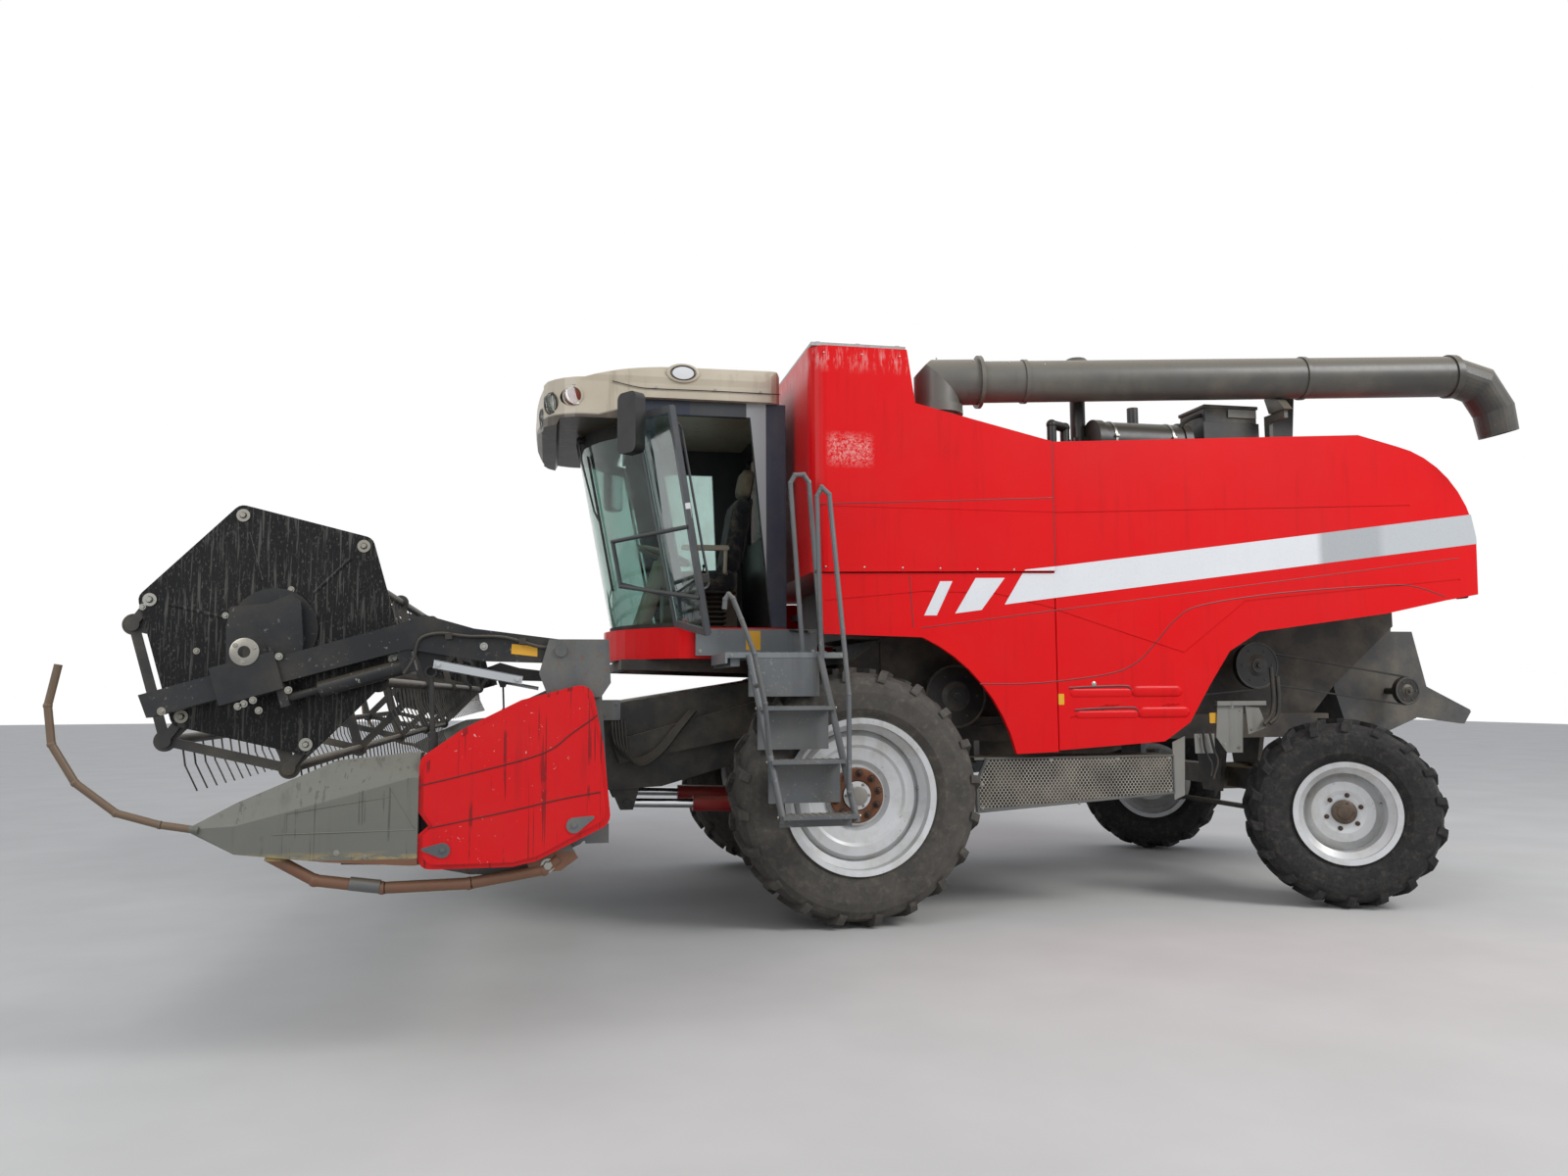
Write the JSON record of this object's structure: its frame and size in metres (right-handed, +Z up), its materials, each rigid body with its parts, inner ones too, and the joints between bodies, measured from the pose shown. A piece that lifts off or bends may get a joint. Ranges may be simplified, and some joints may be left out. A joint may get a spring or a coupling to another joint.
{
  "type": "combine harvester",
  "caption": "Self-propelled grain combine with raised grain header, feathering reel, open cab door and folded unloading tube.",
  "frame": {"origin": "on the ground under the middle of the outline, header, dividers and unloading tube included", "axes": "+X to the rear, so the machine drives towards -X; +Y to its right; +Z up"},
  "size_m": [9.3367, 7.858, 3.9833],
  "materials": {
    "body_red": "faded gloss red paint",
    "frame_red": "dusty dark red paint",
    "axle_grey": "dusty dark grey paint",
    "rim_silver": "silver paint, dusty",
    "tyre_rubber": "dusty black rubber",
    "tube_grey": "faded dark grey paint",
    "cover_grey": "light grey paint",
    "engine_grey": "dark grey paint",
    "black_parts": "matt black",
    "chopper_grey": "worn grey paint",
    "cab_grey": "grey paint",
    "roof_beige": "faded beige moulding",
    "glass": "green tinted glass",
    "door_dark": "dark grey paint",
    "seat_cloth": "dark woven cloth",
    "console_beige": "beige moulding",
    "lamp_lens": "clear lens",
    "feeder_black": "dusty black paint",
    "table_grey": "worn grey paint",
    "knife_steel": "worn steel",
    "divider_grey": "grey moulding",
    "reel_black": "dusty black paint",
    "arm_grey": "dark grey paint",
    "rod_chrome": "bright chrome"
  },
  "bodies": {
    "machine": {"frame": "frame_red", "front_axle": "axle_grey", "rear_axle": "axle_grey", "grain_tank": "body_red", "side_panels": "body_red", "straw_hood": "body_red", "engine_block": "engine_grey", "engine_fittings": "black_parts", "tube_elbow": "tube_grey", "chopper": "chopper_grey", "belt_drive": "black_parts", "belt_guards": "cover_grey", "cab_base": "body_red", "cab_frame": "cab_grey", "cab_roof": "roof_beige", "cab_glass": "glass", "seat": "seat_cloth", "console": "console_beige", "mirrors": "black_parts", "roof_lamps": "lamp_lens", "platform": "cover_grey", "ladder": "cover_grey"},
    "tank_lid": {"tank_lid": "cover_grey"},
    "cab_door": {"door_frame": "door_dark", "door_glass": "glass"},
    "unloading_tube": {"unloading_tube": "tube_grey"},
    "front_wheel_left": {"rim_front_left": "rim_silver", "tyre_front_left": "tyre_rubber"},
    "front_wheel_right": {"rim_front_right": "rim_silver", "tyre_front_right": "tyre_rubber"},
    "knuckle_left": {"knuckle_left": "axle_grey"},
    "knuckle_right": {"knuckle_right": "axle_grey"},
    "rear_wheel_left": {"rim_rear_left": "rim_silver", "tyre_rear_left": "tyre_rubber"},
    "rear_wheel_right": {"rim_rear_right": "rim_silver", "tyre_rear_right": "tyre_rubber"},
    "tie_rod": {"tie_rod": "axle_grey"},
    "header": {"feeder_house": "feeder_black", "header_table": "table_grey", "knife_bar": "knife_steel", "dividers": "divider_grey", "end_covers": "body_red"},
    "auger": {"auger": "table_grey"},
    "reel_arms": {"reel_arms": "arm_grey"},
    "reel_carriages": {"reel_carriages": "arm_grey"},
    "reel": {"reel": "reel_black"},
    "bat_1": {"bat_1": "reel_black"},
    "bat_2": {"bat_2": "reel_black"},
    "bat_3": {"bat_3": "reel_black"},
    "bat_4": {"bat_4": "reel_black"},
    "bat_5": {"bat_5": "reel_black"},
    "bat_6": {"bat_6": "reel_black"},
    "control_plates": {"control_plates": "reel_black"},
    "lift_barrels": {"lift_barrels": "frame_red"},
    "lift_rods": {"lift_rods": "rod_chrome"},
    "reel_lift_barrels": {"reel_lift_barrels": "arm_grey"},
    "reel_lift_rods": {"reel_lift_rods": "arm_grey"}
  },
  "joints": [
    {"name": "lid_swing", "type": "hinge", "parent": "machine", "child": "tank_lid", "pos_m": [-0.7025, 1.447, 3.864], "axis": [-1, 0, 0], "range_deg": [0, 100]},
    {"name": "door_swing", "type": "hinge", "parent": "machine", "child": "cab_door", "pos_m": [-1.8775, -1, 1.965], "axis": [-0.1874, 0, 0.9823], "range_deg": [0, 79]},
    {"name": "tube_swing", "type": "hinge", "parent": "machine", "child": "unloading_tube", "pos_m": [-0.0525, -1.17, 3.715], "axis": [0, 0, -1], "range_deg": [0, 98]},
    {"name": "front_wheel_left_spin", "type": "hinge", "parent": "machine", "child": "front_wheel_left", "pos_m": [-0.7525, -1.37, 0.84], "axis": [0, 1, 0], "continuous": true},
    {"name": "front_wheel_right_spin", "type": "hinge", "parent": "machine", "child": "front_wheel_right", "pos_m": [-0.7525, 1.37, 0.84], "axis": [0, 1, 0], "continuous": true},
    {"name": "steer_left", "type": "hinge", "parent": "machine", "child": "knuckle_left", "pos_m": [2.8975, -1.29, 0.655], "axis": [0, 0, 1], "range_deg": [-9, 59]},
    {"name": "steer_right", "type": "hinge", "parent": "machine", "child": "knuckle_right", "pos_m": [2.8975, 1.29, 0.655], "axis": [0, 0, 1], "range_deg": [-9, 59]},
    {"name": "rear_wheel_left_spin", "type": "hinge", "parent": "knuckle_left", "child": "rear_wheel_left", "pos_m": [2.77494, -1.55283, 0.655], "axis": [0.4226, 0.9063, 0], "continuous": true},
    {"name": "rear_wheel_right_spin", "type": "hinge", "parent": "knuckle_right", "child": "rear_wheel_right", "pos_m": [3.02006, 1.55283, 0.655], "axis": [0.4226, 0.9063, 0], "continuous": true},
    {"name": "tie_rod_turn", "type": "hinge", "parent": "knuckle_left", "child": "tie_rod", "pos_m": [3.12408, -1.39565, 0.56], "axis": [0, 0, 1], "range_deg": [-59, 9]},
    {"name": "header_lift", "type": "hinge", "parent": "machine", "child": "header", "pos_m": [-0.6325, 0, 1.58], "axis": [0, 1, 0], "range_deg": [-15, 6]},
    {"name": "auger_turn", "type": "hinge", "parent": "header", "child": "auger", "pos_m": [-2.9325, 0, 1.1], "axis": [0, 1, 0], "continuous": true},
    {"name": "reel_lift", "type": "hinge", "parent": "header", "child": "reel_arms", "pos_m": [-2.6925, 0, 1.695], "axis": [0, 1, 0], "range_deg": [-5, 18]},
    {"name": "reel_slide", "type": "slide", "parent": "reel_arms", "child": "reel_carriages", "axis": [0.9613, 0, 0.2756], "range_m": [-0.15, 0.1]},
    {"name": "reel_turn", "type": "hinge", "parent": "reel_carriages", "child": "reel", "pos_m": [-3.9425, 0, 1.69], "axis": [0, 1, 0], "continuous": true},
    {"name": "bat_1_turn", "type": "hinge", "parent": "reel", "child": "bat_1", "pos_m": [-3.59517, 0, 2.04967], "axis": [0, 1, 0], "continuous": true},
    {"name": "bat_2_turn", "type": "hinge", "parent": "reel", "child": "bat_2", "pos_m": [-4.08032, 0, 2.17063], "axis": [0, 1, 0], "continuous": true},
    {"name": "bat_3_turn", "type": "hinge", "parent": "reel", "child": "bat_3", "pos_m": [-4.42765, 0, 1.81096], "axis": [0, 1, 0], "continuous": true},
    {"name": "bat_4_turn", "type": "hinge", "parent": "reel", "child": "bat_4", "pos_m": [-4.28983, 0, 1.33033], "axis": [0, 1, 0], "continuous": true},
    {"name": "bat_5_turn", "type": "hinge", "parent": "reel", "child": "bat_5", "pos_m": [-3.80468, 0, 1.20937], "axis": [0, 1, 0], "continuous": true},
    {"name": "bat_6_turn", "type": "hinge", "parent": "reel", "child": "bat_6", "pos_m": [-3.45735, 0, 1.56904], "axis": [0, 1, 0], "continuous": true},
    {"name": "control_plates_turn", "type": "hinge", "parent": "reel_carriages", "child": "control_plates", "pos_m": [-3.8725, 0, 1.79], "axis": [0, 1, 0], "continuous": true},
    {"name": "lift_barrels_swing", "type": "hinge", "parent": "machine", "child": "lift_barrels", "pos_m": [-0.9375, 0, 0.7], "axis": [0, 1, 0], "range_deg": [-20.38, 8.45]},
    {"name": "lift_rods_slide", "type": "slide", "parent": "lift_barrels", "child": "lift_rods", "axis": [-0.9995, 0, 0.0319], "range_m": [-0.22261, 0.08965]},
    {"name": "reel_lift_barrels_swing", "type": "hinge", "parent": "header", "child": "reel_lift_barrels", "pos_m": [-3.1925, 0, 0.96], "axis": [0, 1, 0], "range_deg": [-0.5, 0.51]},
    {"name": "reel_lift_rods_slide", "type": "slide", "parent": "reel_lift_barrels", "child": "reel_lift_rods", "axis": [-0.0461, 0, 0.9989], "range_m": [-0.04769, 0.1691]}
  ],
  "couplings": [
    {"joint": "steer_right", "follows": "steer_left", "ratio": 1},
    {"joint": "tie_rod_turn", "follows": "steer_left", "ratio": -1},
    {"joint": "bat_1_turn", "follows": "reel_turn", "ratio": -1},
    {"joint": "bat_2_turn", "follows": "reel_turn", "ratio": -1},
    {"joint": "bat_3_turn", "follows": "reel_turn", "ratio": -1},
    {"joint": "bat_4_turn", "follows": "reel_turn", "ratio": -1},
    {"joint": "bat_5_turn", "follows": "reel_turn", "ratio": -1},
    {"joint": "bat_6_turn", "follows": "reel_turn", "ratio": -1},
    {"joint": "control_plates_turn", "follows": "reel_turn", "ratio": 1},
    {"joint": "lift_barrels_swing", "follows": "header_lift", "ratio": 1.3254},
    {"joint": "lift_rods_slide", "follows": "header_lift", "m_per_rad": 0.8465},
    {"joint": "reel_lift_barrels_swing", "follows": "reel_lift", "ratio": 0.00059},
    {"joint": "reel_lift_rods_slide", "follows": "reel_lift", "m_per_rad": 0.53507}
  ]
}
